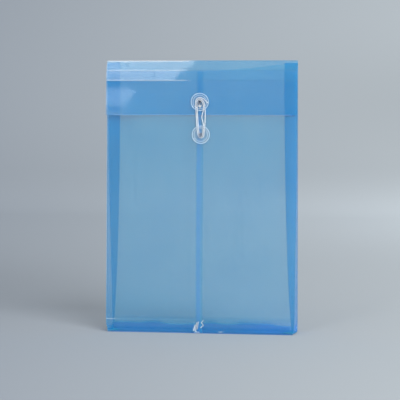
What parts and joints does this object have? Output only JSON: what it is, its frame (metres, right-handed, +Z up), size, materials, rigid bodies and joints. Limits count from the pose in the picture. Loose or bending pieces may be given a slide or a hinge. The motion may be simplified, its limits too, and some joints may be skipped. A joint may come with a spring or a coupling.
{
  "type": "document envelope",
  "caption": "Upright gusseted document envelope of translucent film, with a folded base and a flap held by a string wound round riveted discs.",
  "frame": {"origin": "middle of the base, on the surface that the envelope stands on", "axes": "+Z up, -Y out of the front face that carries the closure, +X to the right as seen from the front"},
  "size_m": [0.235, 0.0316, 0.3339],
  "materials": {
    "blue_film": "translucent, slightly hazy polypropylene film with a soft gloss",
    "clear_disc": "clear moulded plastic",
    "nickel": "dull dark nickel plate",
    "white_string": "twisted white cotton"
  },
  "bodies": {
    "back": {"back_panel": "blue_film", "base_front_flap": "blue_film", "base_rear_flap": "blue_film", "base_left_tuck": "blue_film", "base_right_tuck": "blue_film", "left_gusset_rear": "blue_film", "right_gusset_rear": "blue_film"},
    "front": {"front_panel_left": "blue_film", "front_panel_right": "blue_film", "left_gusset_front": "blue_film", "right_gusset_front": "blue_film", "lower_rivet": "nickel", "lower_washer": "clear_disc"},
    "flap_upper": {"flap_upper_strip": "blue_film"},
    "flap_middle": {"flap_middle_strip": "blue_film"},
    "flap": {"flap_panel": "blue_film", "upper_rivet": "nickel", "upper_washer": "clear_disc", "string_winding": "white_string", "string_knot": "white_string"},
    "upper_disc": {"upper_disc": "clear_disc"},
    "lower_disc": {"lower_disc": "clear_disc"}
  },
  "joints": [
    {"name": "flap_fold", "type": "hinge", "parent": "back", "child": "flap_upper", "pos_m": [0, 0.0015, 0.334], "axis": [-1, 0, 0], "range_deg": [0, 148], "deforming": ["string_winding", "string_knot"]},
    {"name": "flap_crease_1", "type": "hinge", "parent": "flap_upper", "child": "flap_middle", "pos_m": [0, -0.00504, 0.3223], "axis": [-1, 0, 0], "range_deg": [0, 19.5]},
    {"name": "flap_crease_2", "type": "hinge", "parent": "flap_middle", "child": "flap", "pos_m": [0, -0.00719, 0.3101], "axis": [-1, 0, 0], "range_deg": [0, 12]},
    {"name": "mouth_open", "type": "hinge", "parent": "back", "child": "front", "pos_m": [0, -0.016, 0.0004], "axis": [1, 0, 0], "range_deg": [0, 3.1]},
    {"name": "upper_disc_spin", "type": "hinge", "parent": "flap", "child": "upper_disc", "pos_m": [-0.0012, -0.00646, 0.2838], "axis": [0, -0.9996, -0.0279], "continuous": true},
    {"name": "lower_disc_spin", "type": "hinge", "parent": "front", "child": "lower_disc", "pos_m": [-0.00005, -0.00544, 0.2436], "axis": [0, -0.9991, 0.0434], "continuous": true}
  ],
  "couplings": [
    {"joint": "flap_crease_1", "follows": "flap_fold", "ratio": 0.1297},
    {"joint": "flap_crease_2", "follows": "flap_fold", "ratio": 0.0784},
    {"joint": "mouth_open", "follows": "flap_fold", "ratio": 0.0203}
  ]
}
